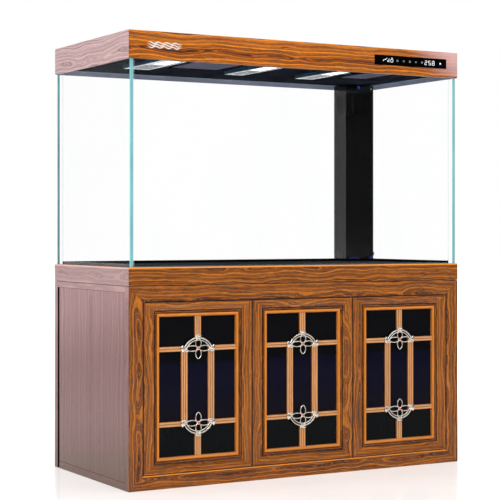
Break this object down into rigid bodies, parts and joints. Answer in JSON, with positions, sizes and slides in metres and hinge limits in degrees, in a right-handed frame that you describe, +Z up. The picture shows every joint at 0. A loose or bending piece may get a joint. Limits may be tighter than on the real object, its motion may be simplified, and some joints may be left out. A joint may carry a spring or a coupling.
{
  "type": "aquarium on stand",
  "caption": "Glass aquarium with a lamp canopy and an overflow column on a wooden cabinet stand with glazed doors and a sump filter inside.",
  "frame": {"origin": "middle of the footprint, on the floor that the cabinet stands on", "axes": "+Z up, the longest extent; +X along the length, to the right of someone who faces the doors; +Y from the doors to the back, the shortest extent"},
  "size_m": [1.5, 0.7, 1.69],
  "materials": {
    "wood": "glossy dark-veined rosewood-look veneer",
    "lattice_wood": "light ribbed wood bars",
    "board": "matte structural board",
    "clear_glass": "clear float glass with polished edges",
    "dark_glass": "near-black tinted glass",
    "black_plastic": "glossy black plastic",
    "grey_plastic": "grey pipe",
    "white_plastic": "satin white plastic",
    "lamp_diffuser": "white lamp unit",
    "control_glass": "black touch panel",
    "foam": "black foam mat",
    "antique_metal": "antique pale silver-gold cast metal",
    "steel": "steel pin"
  },
  "bodies": {
    "cabinet_and_tank": {"back_panel": "wood", "base_trim": "black_plastic", "cabinet_floor": "board", "deck": "board", "drain_pipe": "grey_plastic", "face_frame": "wood", "glass_back": "clear_glass", "glass_bottom": "clear_glass", "glass_front": "clear_glass", "glass_left": "clear_glass", "glass_right": "clear_glass", "heater": "black_plastic", "hinge_pin_left_bottom": "steel", "hinge_pin_left_top": "steel", "hinge_pin_middle_bottom": "steel", "hinge_pin_middle_top": "steel", "hinge_pin_right_bottom": "steel", "hinge_pin_right_top": "steel", "latch_left_body": "black_plastic", "latch_middle_body": "black_plastic", "latch_right_body": "black_plastic", "mullion_left": "wood", "mullion_right": "wood", "overflow_column": "black_plastic", "return_pipe": "white_plastic", "return_pump": "black_plastic", "side_panel_left": "wood", "side_panel_right": "wood", "sump_tank": "clear_glass", "tank_mat": "foam", "top_band": "wood"},
    "door_left": {"door_left_frame": "wood", "door_left_pane": "dark_glass", "door_left_lattice": "lattice_wood", "door_left_ornament_upper": "antique_metal", "door_left_ornament_lower": "antique_metal"},
    "latch_left_plunger": {"latch_left_plunger": "white_plastic"},
    "door_middle": {"door_middle_frame": "wood", "door_middle_pane": "dark_glass", "door_middle_lattice": "lattice_wood", "door_middle_ornament_upper": "antique_metal", "door_middle_ornament_lower": "antique_metal"},
    "latch_middle_plunger": {"latch_middle_plunger": "white_plastic"},
    "door_right": {"door_right_frame": "wood", "door_right_pane": "dark_glass", "door_right_lattice": "lattice_wood", "door_right_ornament_upper": "antique_metal", "door_right_ornament_lower": "antique_metal"},
    "latch_right_plunger": {"latch_right_plunger": "white_plastic"},
    "canopy": {"canopy_shell": "wood", "canopy_ceiling": "black_plastic", "lamp_left": "lamp_diffuser", "lamp_middle": "lamp_diffuser", "lamp_right": "lamp_diffuser", "control_panel": "control_glass"},
    "lid_left": {"lid_left": "wood"},
    "lid_right": {"lid_right": "wood"},
    "filter_tray_left": {"filter_tray_left": "black_plastic"},
    "filter_tray_right": {"filter_tray_right": "black_plastic"},
    "pump_impeller": {"pump_impeller": "white_plastic"}
  },
  "joints": [
    {"name": "door_left_hinge", "type": "hinge", "parent": "cabinet_and_tank", "child": "door_left", "pos_m": [-0.6845, -0.345, 0.373], "axis": [0, 0, -1], "range_deg": [0, 100]},
    {"name": "latch_left_press", "type": "slide", "parent": "cabinet_and_tank", "child": "latch_left_plunger", "axis": [0, 1, 0], "range_m": [0, 0.004], "stiffness_N_per_m": 150},
    {"name": "door_middle_hinge", "type": "hinge", "parent": "cabinet_and_tank", "child": "door_middle", "pos_m": [0.224, -0.345, 0.373], "axis": [0, 0, 1], "range_deg": [0, 100]},
    {"name": "latch_middle_press", "type": "slide", "parent": "cabinet_and_tank", "child": "latch_middle_plunger", "axis": [0, 1, 0], "range_m": [0, 0.004], "stiffness_N_per_m": 150},
    {"name": "door_right_hinge", "type": "hinge", "parent": "cabinet_and_tank", "child": "door_right", "pos_m": [0.6845, -0.345, 0.373], "axis": [0, 0, 1], "range_deg": [0, 100]},
    {"name": "latch_right_press", "type": "slide", "parent": "cabinet_and_tank", "child": "latch_right_plunger", "axis": [0, 1, 0], "range_m": [0, 0.004], "stiffness_N_per_m": 150},
    {"name": "canopy_lift", "type": "slide", "parent": "cabinet_and_tank", "child": "canopy", "axis": [0, 0, 1], "range_m": [0, 0.2]},
    {"name": "lid_left_hinge", "type": "hinge", "parent": "canopy", "child": "lid_left", "pos_m": [-0.3025, 0.075, 1.685], "axis": [-1, 0, 0], "range_deg": [0, 100]},
    {"name": "filter_tray_left_lift", "type": "slide", "parent": "cabinet_and_tank", "child": "filter_tray_left", "axis": [0, 0, 1], "range_m": [0, 0.1]},
    {"name": "lid_right_hinge", "type": "hinge", "parent": "canopy", "child": "lid_right", "pos_m": [0.4507, 0.075, 1.685], "axis": [-1, 0, 0], "range_deg": [0, 100]},
    {"name": "filter_tray_right_lift", "type": "slide", "parent": "cabinet_and_tank", "child": "filter_tray_right", "axis": [0, 0, 1], "range_m": [0, 0.1]},
    {"name": "pump_impeller_spin", "type": "hinge", "parent": "cabinet_and_tank", "child": "pump_impeller", "pos_m": [-0.1702, 0.07, 0.1036], "axis": [0, -1, 0], "continuous": true}
  ]
}
